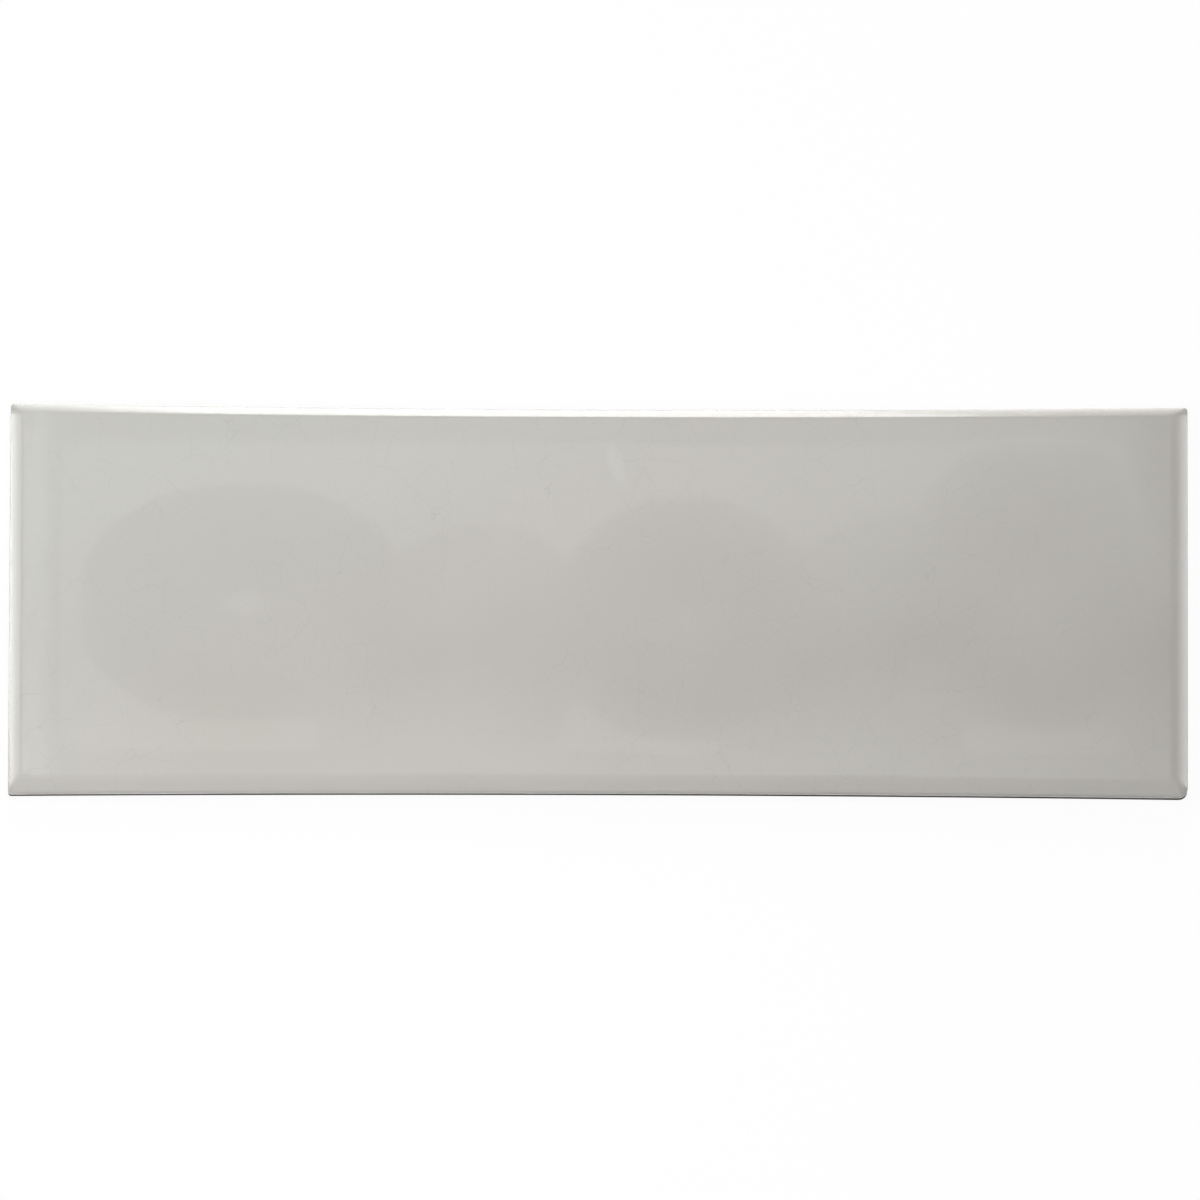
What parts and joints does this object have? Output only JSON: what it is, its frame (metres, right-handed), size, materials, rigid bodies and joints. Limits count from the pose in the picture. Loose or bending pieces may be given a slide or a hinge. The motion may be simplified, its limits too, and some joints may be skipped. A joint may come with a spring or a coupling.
{
  "type": "crackle glaze brick tile",
  "caption": "Long thin ceramic wall tile of brick format with a gently wavy crackle-glazed face, rolled edges and a ribbed back for adhesive.",
  "frame": {"origin": "middle of the back, in the plane of the ribs that the tile rests on", "axes": "+X along the tile's length, +Y across it towards the long edge that is uppermost in the picture, +Z out of the glazed face"},
  "size_m": [0.3, 0.1, 0.0092],
  "materials": {
    "grey_crackle_glaze": "gloss light warm grey glaze with fine crackle over the face and edges, bare fired clay on the back"
  },
  "bodies": {
    "root": {"glazed_brick_tile": "grey_crackle_glaze"}
  },
  "joints": []
}
